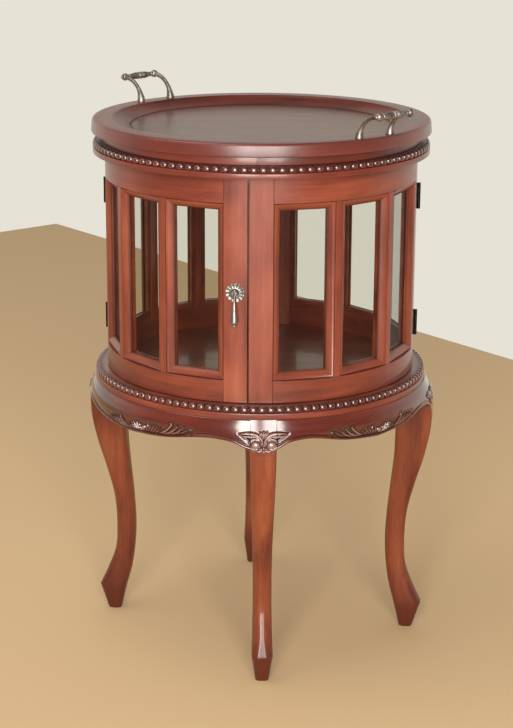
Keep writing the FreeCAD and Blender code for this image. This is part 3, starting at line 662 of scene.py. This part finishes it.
def mouldings():
    """The two beaded mouldings: a plain flange below, and a row of beads in a hollow above it."""
    rows = (
        ("lower", 239.1, 249.0, LEG_TOP, 8.3, FLOOR, 122, 61),
        ("upper", 195.0, 248.0, HEAD, 7.7, TOP, 117, 62),
    )
    for name, bore, flange, low, flange_height, high, count, seed in rows:
        foot = flange - 5.7
        bead_low = low + flange_height
        outline = rounded([
            (bore, low), (flange, low), (flange, bead_low), (foot + 1.6, bead_low),
            (foot - 1.4, bead_low + 4.2), (foot + 0.6, high - 0.2), (foot - 1.0, high), (bore, high),
        ], [0.3, 0.25, 1.4, 0.5, 1.5, 0.3, 0.3, 0.3])
        # painted shade: the hollow behind the beads gets the lowest relief, so the wood paints it nearly
        # black
        hollow = (outline[:, 1] > bead_low + 0.2) & (outline[:, 0] > bore + 1.0)
        ring = lathe(outline, relief=np.where(hollow, -0.95, 0.0))
        dress(f"{name}_bead_moulding", "cabinet", ring, ring_wood, bent_grain(JOINT, seed, 4))
        beads = bead_row(count, foot + 0.4, bead_low + 4.2, 0.7)
        make(f"{name}_beads", "cabinet", beads, bead_wood, bent_grain(0.0, seed + 4, 4), sharp=80.0)


def top_edging():
    """The lipping round the cabinet top, in four lengths with a fine joint between them."""
    outline = rounded([(222.0, TOP), (234.5, TOP), (233.5, TRAY), (222.0, TRAY)], [0.3, 1.2, 2.2, 0.3])
    lengths = Grids()
    for start in JOINT + 90.0 * np.arange(4):
        lengths.join(lathe(outline, start + 0.05, start + 89.95))
    dress("top_edging", "cabinet", lengths, ring_wood, bent_grain(JOINT, 71, 4))


def tray():
    """The tray: a turned rim whose flat top falls into the well along a hollow curve, between a slant and a
    quarter of an ellipse, and a thin board let in under it."""
    floor = TRAY + 4.4
    along = np.linspace(0.0, 1.0, 9)[1:-1]
    curve = 0.35 * np.sin(np.arccos(1.0 - along)) + 0.65 * along
    cove = list(zip(219.0 - 25.4 * along, RIM - (RIM - floor - 1.7) * curve))
    outline = rounded([
        (250.0, TRAY - 1.5), (248.5, RIM), (219.0, RIM), *cove, (193.6, floor + 1.7), (192.8, floor + 0.8),
        (189.0, floor), (205.0, floor), (205.0, TRAY), (235.3, TRAY), (235.3, TRAY - 1.5),
    ], [1.2, 4.6, 1.4, *[0.3] * len(cove), 0.6, 0.4, 0.8, 0.2, 0.2, 0.2, 0.3], 5)
    # painted shade: a low relief at the quirk at the foot of the cove gives a thin dark line
    quirk = np.exp(-((outline[:, 0] - 192.4) / 1.2) ** 2) * (outline[:, 1] > TRAY + 3.0)
    rim = lathe(outline, step=1.0, relief=-0.9 * quirk)
    dress("tray_rim", "tray", rim, tray_wood, bent_grain(12.0, 73, 6), slot="tray_wood")
    board = lathe(np.array([(0.0, TRAY), (204.9, TRAY), (204.9, floor), (0.0, floor)]), step=3.0)
    make("tray_board", "tray", board, well_wood, straight_grain(8.0, 3), slot="tray_wood",
         nodes=["tray_base"])


# Legs and aprons

LEG_KNOTS = TOE + 363.0 * np.array([0, 0.08, 0.17, 0.27, 0.41, 0.54, 0.67, 0.8, 0.87, 0.94, 1])
LEG_OUT = 226.5 + 39.0 * np.array([0.705, 0.37, 0.07, 0, 0.08, 0.37, 0.71, 0.93, 0.94, 0.84, 0.62])
LEG_BACK = 196.5 + 12.5 * np.array([1.24, 0.6, 0.19, 0, 0.16, 0.52, 0.9, 1, 1, 1, 1])
LEG_WIDE = 31.0 + 6.0 * np.array([0, -0.3, -0.5, -0.55, -0.4, 0, 0.5, 0.9, 1, 1, 1])
APRON_BACK = 232.2
SPRAY_TURN = 41.6


def apron_arc(z):
    """The apron's bowed face: a smooth line through its crest, its bulge and its lip."""
    return smooth_line(z, [361, 370, 380, 392, 403], [253.5, 256.3, 257, 255.1, 250])


def band_face(s, z):
    """How far out the band of aprons and knees stands, at a distance round from a leg's middle and a
    height: the apron's arc, swelling smoothly to the knee's line near the leg."""
    near_leg = 1.0 - smoothstep(16.0, 72.0, np.abs(s))
    knee = smooth_line(z, LEG_KNOTS, LEG_OUT)
    return apron_arc(z) + near_leg * (knee - apron_arc(z))


def ridges(s, z, lines):
    """The height of carved ridges over a surface and the distance to the nearest one: across a ridge of a
    half width, the height falls from its middle as a circle does. Each line is (height, rows of s, z,
    half width)."""
    height, clear = np.zeros(s.shape), np.full(s.shape, 99.0)
    for tall, rows in lines:
        line = through(rows)
        a, b = line[:-1], line[1:]
        run = b[:, :2] - a[:, :2]
        ds, dz = s[..., None] - a[:, 0], z[..., None] - a[:, 1]
        t = np.clip((ds * run[:, 0] + dz * run[:, 1]) / (run ** 2).sum(1), 0.0, 1.0)
        away = np.hypot(ds - t * run[:, 0], dz - t * run[:, 1])
        half = np.maximum(a[:, 2] + t * (b[:, 2] - a[:, 2]), 0.2)
        dome = tall * np.sqrt(np.clip(1.0 - (away / half) ** 2, 0.0, 1.0)) * np.minimum(1.0, half / 1.2)
        height = np.maximum(height, dome.max(-1))
        clear = np.minimum(clear, (away - half).min(-1))
    return height, clear


def carved(height, clear, reach=2.0):
    """A carved surface from its ridges: they stand up, and the ground beside them, within a reach, is cut
    down. Gives the rise and the relief, from -1 in a hollow to 1 on a top."""
    sunk = 0.6 * smoothstep(reach, 0.2 * reach, clear) * (height <= 0.0)
    # the relief gives the cut-down ground painted shade and the ridges' tops a painted highlight
    return height - sunk, np.where(height > 0.0, np.clip(height / 2.0, 0.0, 1.0), -sunk / 0.6)


KNEE_LINES = (
    (2.4, [(0.7, 366, 0.9), (2, 373.5, 1.5), (5.4, 380.3, 2), (12, 384.6, 2.4), (22, 385.6, 2.2),
           (34, 385, 0.4)]),
    (1.9, [(4.6, 372, 0.7), (6.6, 377.2, 1.4), (11, 380.6, 1.5), (18, 381.4, 1.6), (25, 381, 1.6),
           (33, 384, 0.5)]),
    (1.9, [(4.4, 369.6, 0.6), (7.4, 375.6, 1.2), (12, 377.4, 1.4), (16.6, 375.4, 1.6), (19, 371.4, 1.4),
           (17.6, 368.2, 0.8)]),
    (1.6, [(19, 376.6, 0.6), (24, 378, 1.3), (30, 381.6, 0.5)]),
    (3, [(10.7, 367.4, 6), (10.8, 367.5, 6)]),
    (2, [(0, 375, 0.5), (0, 380, 1), (0, 385, 1.6), (0, 389, 0.6)]),
    (2, [(0.8, 380, 0.5), (2.4, 385, 1.5), (4.8, 388.4, 0.5)]),
    (1.8, [(0, 365, 0.8), (0, 361.5, 1.7), (0, 357.6, 0.5)]),
    (1.6, [(1.6, 363.4, 0.6), (4.2, 361, 1.5), (7, 358.6, 0.4)]),
)
SPRAY_LINES = (
    (2.2, [(0, 8, 3.2), (0.1, 8.1, 3.2)]),
    (1.6, [(4.6, 4.6, 0.6), (7, 9.4, 1.3), (7.2, 14.8, 0.4)]),
    (1.6, [(8, 4.4, 0.6), (11.4, 8.8, 1.3), (12.6, 14.2, 0.4)]),
    (1.6, [(11.6, 4.4, 0.6), (15.8, 8.2, 1.3), (18, 13.4, 0.4)]),
    (1.5, [(15.4, 4.4, 0.6), (20.2, 7.6, 1.3), (23.4, 12.2, 0.4)]),
    (1.5, [(19.6, 4.4, 0.6), (25, 6.8, 1.2), (29.4, 10.6, 0.4)]),
    (1.7, [(27, 4.4, 0.6), (36, 7, 1.5), (43, 11.4, 1.6), (46, 14.8, 1.2), (43.2, 16.4, 0.6)]),
    (1.6, [(33, 4.2, 0.6), (43, 5.8, 1.5), (51, 9.4, 1.5), (54.6, 13.6, 0.5)]),
    (1.5, [(42, 4.2, 0.6), (52, 5.4, 1.4), (60, 8.6, 1.3), (63.6, 12, 0.4)]),
    (1.4, [(54, 4.4, 0.6), (63, 5.8, 1.2), (71, 8.4, 1), (75.6, 7.4, 0.8), (75, 4.8, 0.4)]),
)


def knee_carving(s, z):
    """The ornament on a knee: two leaf scrolls that curl over a boss each, a bud above and a leaf below,
    drawn 0.86 as high as its lines."""
    return carved(*ridges(np.abs(s), 389.0 - (388.0 - z) / 0.86, KNEE_LINES))


def spray_carving(s, above):
    """The spray of leaves on an apron, drawn a little wider and higher than its lines."""
    return carved(*ridges(np.abs(s) / 1.06, above / 1.24, SPRAY_LINES), 3.6)


def apron_low(share):
    """The apron's lower edge at a share of the way from one leg's middle to the next."""
    half = np.minimum(share, 1.0 - share) * 2.0
    drop = smooth_line(half, [0, 0.1, 0.19, 0.3, 0.7, 1], [0.98, 0.94, 0.75, 0.67, 0.89, 1])
    return LEG_TOP - 42.0 * drop


def apron(name, start, span, spray, seed):
    """One apron: its bowed face from the top edge down to a small rolled lip along the scalloped edge, then
    the underside and the flat back, carried round from leg to leg."""
    side = math.degrees(math.asin(LEG_SIDE / BAND))
    azimuth = np.linspace(start + side, start + span - side, int((span - 2 * side) * 4.6))[:, None]
    low = apron_low((azimuth - start) / span)
    t = np.concatenate([np.linspace(0.0, 0.82, 44), np.linspace(0.82, 1.0, 22)[1:]])[None]
    z = LEG_TOP - 0.7 + t * (low - LEG_TOP + 0.7)
    above = z - low
    from_leg = np.radians(np.minimum(azimuth - start, start + span - azimuth)) * BAND + 0 * z
    from_spray = np.radians(azimuth - start - spray) * BAND + 0 * z
    lift, relief = knee_carving(from_leg, z)
    leaf, leaf_relief = spray_carving(from_spray, above)
    lip = 2.0 * np.sqrt(np.clip(1.0 - ((above - 2.3) / 2.3) ** 2, 0.0, 1.0))
    # painted shade: the groove above the lip also gets a low relief, which darkens it
    groove = -0.8 * np.exp(-((above - 5.3) / 0.8) ** 2) * (np.abs(leaf) < 0.01)
    face = band_face(from_leg, z) + lift + leaf + np.where(above < 4.6, lip, 0.0) + groove
    relief = np.where(np.abs(leaf_relief) > np.abs(relief), leaf_relief, relief) + groove * 0.8
    back = np.full_like(low, APRON_BACK)
    back_heights = np.concatenate([low, low, np.full_like(low, LEG_TOP - 0.1)], 1)
    heights = np.concatenate([np.full_like(low, LEG_TOP - 0.02), z, back_heights], 1)
    radii = np.concatenate([face[:, :1] - 0.9, face, face[:, -1:] - 2.0, back, back], 1)
    reliefs = np.concatenate([np.zeros_like(low), relief, np.zeros_like(back_heights)], 1)
    grids = Grids().add(around(radii, azimuth, heights), relief=reliefs)
    dress(name, "cabinet", grids, apron_wood, bent_grain(start, seed), sharp=50.0)


def leg(name, azimuth, seed):
    """A cabriole leg: at each height a rectangle with rounded corners, from the leg's back line to its
    front line and as wide as its width line; the foot tapers under a sharp toe, and the knee's face runs
    into the aprons and carries the ornament."""
    foot_rows, shaft_rows = np.linspace(0.0, 39.4, 12), np.linspace(TOE, 340.0, 80)
    z = np.concatenate([foot_rows, shaft_rows, np.linspace(340.0, 402.9, 110)[1:]])[:, None]
    foot = np.clip(z / TOE, 0.0, 1.0)
    above = z >= TOE
    out = np.where(above, smooth_line(z, LEG_KNOTS, LEG_OUT), 241.5 + 12.5 * foot)
    back = np.where(above, smooth_line(z, LEG_KNOTS, LEG_BACK), 221.5 - 9.5 * foot)
    half = np.where(above, smooth_line(z, LEG_KNOTS, LEG_WIDE), 19.4 + 11.6 * foot) / 2
    top = smoothstep(350.0, 364.0, z)
    full = 0.46 + (0.24 - 0.46) * smoothstep(190.0, 330.0, z) - 0.12 * smoothstep(70.0, 36.0, z)
    front_round = full * 2 * half * (1 - top) + 0.1 * top
    back_round = np.minimum(0.4, full) * 2 * half
    fronts, corners, sides = 75, 5, 10
    u = np.linspace(-1.0, 1.0, fronts)[None]
    q = np.linspace(0.0, np.pi / 2, corners + 2)[None, 1:-1]
    v = np.linspace(0.0, 1.0, sides)[None]
    front_x = u * (half - front_round)
    right_x = half - front_round + front_round * np.sin(q)
    right_y = out - front_round + front_round * np.cos(q)
    side_x = half * np.ones_like(v)
    side_y = out - front_round + v * (back + back_round - out + front_round)
    lower_x = half - back_round + back_round * np.cos(q)
    lower_y = back + back_round - back_round * np.sin(q)
    back_x = (half - back_round) * np.linspace(1.0, -1.0, sides)[None]
    x = np.concatenate([front_x, right_x, side_x, lower_x, back_x,
                        -lower_x[:, ::-1], -side_x, -right_x[:, ::-1]], 1)
    y = np.concatenate([out * np.ones_like(u), right_y, side_y, lower_y, back * np.ones_like(back_x),
                        lower_y[:, ::-1], side_y[:, ::-1], right_y[:, ::-1]], 1)
    heights = np.broadcast_to(z, x.shape)
    turn = np.arctan2(x, y)
    face = band_face(turn * BAND, heights) * np.cos(turn)
    lift, relief = knee_carving(turn * BAND, heights)
    hidden = np.zeros(2 * corners + sides)
    in_front = np.concatenate([np.ones(fronts + corners), 1.0 - v[0], hidden, v[0], np.ones(corners)])[None]
    y = y + in_front * (top * (face - out) + lift)
    points = turned(grid(x, -y, heights), azimuth)
    grids = Grids().add(points, relief=relief * (in_front > 0.99))
    dress(f"{name}_leg", "cabinet", grids, leg_wood, upright_grain(azimuth, seed), sharp=42.0)


def stand():
    """The four legs and the apron from each to the next, with its spray midway or nearer the front leg."""
    names = list(LEGS)
    for i, (name, azimuth) in enumerate(LEGS.items()):
        following = names[(i + 1) % 4]
        span = (LEGS[following] - azimuth) % 360.0
        spray = span / 2
        if name == "front":
            spray = min(spray, SPRAY_TURN)
        elif following == "front":
            spray = span - SPRAY_TURN
        leg(name, azimuth, 81 + i)
        apron(f"{name}_to_{following}_apron", azimuth, span, spray, 85 + i)


# Handles and pull

LEVEL = np.array([1.0, 0.0, 0.0])
GRIP = np.array([271.6, RIM + 33.3])
POST_OUT = 234.0
ROUND_STEPS = 28


def tube(path, radii):
    """A round section carried along a path of (tangent, out, up) points in one upright plane, with its own
    radius at each point: the section turns with the path's slope."""
    run = np.gradient(path, axis=0)
    run = run / np.linalg.norm(run, axis=1)[:, None]
    other = np.cross(run, LEVEL)
    turn = full_turn(ROUND_STEPS)[None, :, None]
    ring = np.cos(turn) * LEVEL + np.sin(turn) * other[:, None, :]
    return path[:, None, :] + radii[:, None, None] * ring


def to_front(points):
    """Points as (tangent, out, up) put at the front, where out is -Y."""
    return points * np.array([1.0, -1.0, 1.0])


def handle_post(along):
    """A post: from a trumpet foot it bends outwards along a quarter of an ellipse to the grip's end."""
    turn = np.linspace(0.0, np.pi / 2, 34)
    out = POST_OUT + (GRIP[0] - POST_OUT) * (1 - np.cos(turn))
    up = RIM + (GRIP[1] - RIM) * np.sin(turn)
    radii = 2.7 + 3.5 * np.exp(-((up - RIM) / 12.0) ** 1.6) + 1.3 * (turn / (np.pi / 2)) ** 3
    return to_front(tube(grid(along, out, up), np.minimum(radii, 6.2)))


def ball(centre, radius):
    """A ball round a (tangent, out, up) point."""
    return to_front(egg(15, 26) * radius + np.asarray(centre))


def turned_bar(profile, centre_out, centre_up):
    """A turned bar along the tangent: (place along, radius) points carried round its own axis."""
    turn = full_turn(ROUND_STEPS)[None]
    along, radius = profile[:, :1], profile[:, 1:]
    return to_front(grid(along, centre_out + radius * np.cos(turn), centre_up + radius * np.sin(turn)))


def grip_profile():
    """A turned grip: from a thin neck at each end a long barrel swells to two rings in the middle."""
    half = np.array([
        (0, 3.6), (1, 3.6), (1.5, 5), (2.1, 5.5), (2.9, 5.4), (3.5, 4.6), (3.9, 3.8), (4.4, 3.9),
        (4.9, 4.7), (7, 5.2), (10, 5.1), (13, 4.7), (16, 4.1), (19, 3.6), (21.2, 3.2),
        (22, 3.6), (22.8, 3.7), (23.6, 3.1), (26.3, 2.9),
    ])
    fine = through(half, 72)
    return np.concatenate([fine[::-1] * np.array([-1.0, 1.0]), fine[1:]])


def handles():
    """The tray's two handles: posts that end in a ball and a small knob, and the grip between them."""
    for name, azimuth in (("front", 42.0), ("rear", 224.5)):
        posts = Grids()
        for along in (-30.0, 30.0):
            knob = ball((along * 1.18, *GRIP), 2.3)
            for points in (handle_post(along), ball((along, *GRIP), 5.7), knob):
                posts.add(turned(points, azimuth))
        dress(f"{name}_handle_posts", "tray", posts, pewter, slot="pewter")
        grip = Grids().add(turned(turned_bar(grip_profile(), *GRIP), azimuth))
        dress(f"{name}_handle_grip", "tray", grip, pewter, slot="pewter", sharp=60.0)


def at_pull(points):
    """Points as (tangent, out, up) put at the pull's azimuth."""
    return turned(to_front(points), PULL_TURN)


def rosette():
    """The pull's round plate: a sunk middle, a raised ring, and round it a skirt of thirteen petals, where
    the edge and the height wave with the turn, the more so the further out."""
    petals = 13
    r = np.linspace(0.0, 1.0, 44)[:, None]
    turn = full_turn(12 * petals)[None]
    wave = np.abs(np.cos(petals / 2 * turn)) ** 0.8
    outside = smoothstep(0.55, 0.75, r)
    radius = r * (11.7 + 1.5 * wave * smoothstep(0.6, 1.0, r))
    ring = 1.7 * smoothstep(0.4, 0.5, r) - 1.1 * smoothstep(0.52, 0.74, r)
    plate = 0.5 + ring + 0.7 * smoothstep(0.76, 0.97, r)
    petal = 1.0 * (wave - 0.7) * outside
    back = DRUM + 0.1
    out = back + np.maximum(plate + petal, 0.25)
    # painted shade: the sunk middle and the grooves between the petals get a low relief, which the metal
    # paints nearly black
    hollow = -1.0 * (1 - smoothstep(0.38, 0.47, r)) + 0.6 * np.minimum(wave - 0.62, 0.0) * outside
    front = grid(radius * np.sin(turn), out, PULL_HEIGHT + radius * np.cos(turn))
    edge = grid(front[-1:, :, 0], back, front[-1:, :, 2])
    relief = np.concatenate([hollow, np.zeros_like(turn)])
    return Grids().add(at_pull(np.concatenate([front, edge])), relief=relief)


def hanging(profile):
    """A turned piece that hangs at the pull: (radius, depth below the pin) points carried round its
    axis."""
    turn = full_turn(ROUND_STEPS)[None]
    radius, depth = profile[:, :1], profile[:, 1:]
    return at_pull(grid(radius * np.sin(turn), PIVOT + radius * np.cos(turn), PULL_HEIGHT - depth))


def pull_eye():
    """The ring on the pull's pin: a small round section carried round a circle in the upright plane."""
    turn = full_turn(30)
    away = grid(0.0, np.cos(turn), np.sin(turn))[:, None]
    section = full_turn(12)[None, :, None]
    centre = np.array([0.0, PIVOT, PULL_HEIGHT])
    return at_pull(centre + 1.9 * away + 0.75 * (np.cos(section) * away + np.sin(section) * LEVEL))


def pull():
    """The pull: its rosette on the left door, and the drop that swings from it."""
    dress("pull_rosette", "left_door", rosette(), silver, slot="bright_rosette", sharp=70.0)
    drop = through([
        (0.2, 3), (1.4, 3.6), (1.3, 6), (1.5, 12), (2, 16), (2.5, 20), (3.4, 27), (4.3, 34), (5, 40),
        (4.7, 42.4), (3.3, 44), (1.7, 44.7), (1.6, 45.2), (2.1, 46.2), (1.7, 47.4), (0.2, 48),
    ], 90)
    stem = through([(1.2, 2.4), (1.2, 3), (1.3, 4.2)], 6)
    grids = Grids().add(hanging(drop))
    grids.add(pull_eye(), close_rows=True)
    grids.add(hanging(stem))
    dress("pull_drop", "pull", grids, pewter_with_painted_light, slot="pewter", sharp=60.0)


# Carried-over solids

def dress_solids():
    """Better materials on the solids whose own shape is right, by words in their names."""
    finishes = {
        "panes": glass, "hinge_leaves": black_iron, "hinge_pins": black_iron, "hinge_screws": black_iron,
        "pull_post": pewter_with_painted_light, "strike": steel, "catch": steel, "screws": steel,
        "glazing_beads": trim_wood, "corner_blocks": trim_wood, "cabinet_top": board_wood,
        "base_board": board_wood,
    }
    for name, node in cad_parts.items():
        for word, finish in finishes.items():
            if word in name:
                node.data.materials.clear()
                node.data.materials.append(finish)
                break


doors()
back_half()
mouldings()
top_edging()
tray()
stand()
handles()
pull()
dress_solids()


# Stage, light and camera. Their sizes are in metres.

CREAM = (0.79, 0.765, 0.67, 1.0)
DIM_ROOM = (0.2, 0.185, 0.16, 1.0)
DAYLIGHT = (1.0, 0.97, 0.92, 1.0)
LAMP_COLOUR = (1.0, 0.965, 0.91)
CAMERA_PLACE = (0.0, -2.8089, 1.2218)


def pale_floor():
    """A plain floor that ends where the photo's floor meets the wall, and short of the lamps."""
    edge = [(-0.63, 2.98, 0.0), (-3.4, 0.73, 0.0), (-3.4, -1.7, 0.0), (3.165, -1.7, 0.0)]
    mesh = bpy.data.meshes.new("floor")
    mesh.from_pydata(edge, [], [list(range(len(edge)))])
    ground = put("floor", mesh)
    f = Finish(bpy.data.materials.new("pale_floor"))
    mesh.materials.append(f.close(Base_Color=(0.62, 0.435, 0.24, 1.0), Roughness=0.8,
                                  Specular_IOR_Level=0.25))


def surround():
    """The world: cream behind the table; in reflections a cream wall, low and behind, in a dimmer room; and
    as light a soft white, which is stronger from behind."""
    world = bpy.data.worlds.new("surround")
    bpy.context.scene.world = world
    f = Finish(world)
    camera, glossy, passed = (f.node("LightPath", {}, {}, out=f"Is {kind} Ray")
                              for kind in ("Camera", "Glossy", "Transmission"))
    shown = f.node("Math", {"operation": "ADD", "use_clamp": True}, {0: camera + glossy, 1: passed})
    back, up = f.point("Y", "Generated"), f.point("Z", "Generated")
    behind, low = f.mask(back, -0.25, 0.35, "LINEAR"), f.mask(up, 0.62, 0.3, "LINEAR")
    strength = f.node("MapRange", {}, {"Value": back, "To Min": 0.42, "To Max": 0.95})
    wall = f.node("Background", {}, {"Color": CREAM})
    room = f.node("Background", {}, {"Color": DIM_ROOM})
    light = f.node("Background", {}, {"Color": DAYLIGHT, "Strength": strength})
    on_wall = camera.maths("MAXIMUM", behind * low, camera)
    seen = f.node("MixShader", {}, {0: on_wall, 1: room, 2: wall})
    f.end(f.node("MixShader", {}, {0: shown, 1: light, 2: seen}), "OutputWorld")


def lamps():
    """Two tall windows in front and a soft lamp overhead: place, height of aim, width, height, power."""
    rows = (
        ("left_window", (-0.72, -4.5, 1.84), 1.3, 1.06, 3.2, 156.0),
        ("right_window", (0.72, -4.5, 1.84), 1.3, 1.06, 3.2, 132.0),
        ("overhead", (-0.9, -0.3, 2.8), 0.5, 1.8, 1.8, 20.0),
    )
    for name, place, aim, width, height, power in rows:
        data = bpy.data.lights.new(name, "AREA")
        data.shape, data.size, data.size_y = "RECTANGLE", width, height
        data.energy, data.color = power, LAMP_COLOUR
        lamp = put(name, data)
        lamp.location = place
        away = Vector(place) - Vector((0.0, 0.0, aim))
        lamp.rotation_euler = away.to_track_quat("Z", "Y").to_euler()


def photo_camera():
    """The camera as the photo was taken: in front, tilted down, and turned and rolled by a hair."""
    data = bpy.data.cameras.new("camera")
    data.lens, data.sensor_width = 94.87, 36.0
    data.clip_end = 50.0
    camera = put("camera", data)
    turn = Matrix.Rotation(0.002, 4, "Z")
    tilt = Matrix.Rotation(math.radians(90.0 - 16.071), 4, "X")
    roll = Matrix.Rotation(math.radians(0.27), 4, "Z")
    camera.matrix_world = Matrix.Translation(CAMERA_PLACE) @ turn @ tilt @ roll
    bpy.context.scene.camera = camera


bpy.context.scene.view_settings.view_transform = "Standard"
pale_floor()
surround()
lamps()
photo_camera()
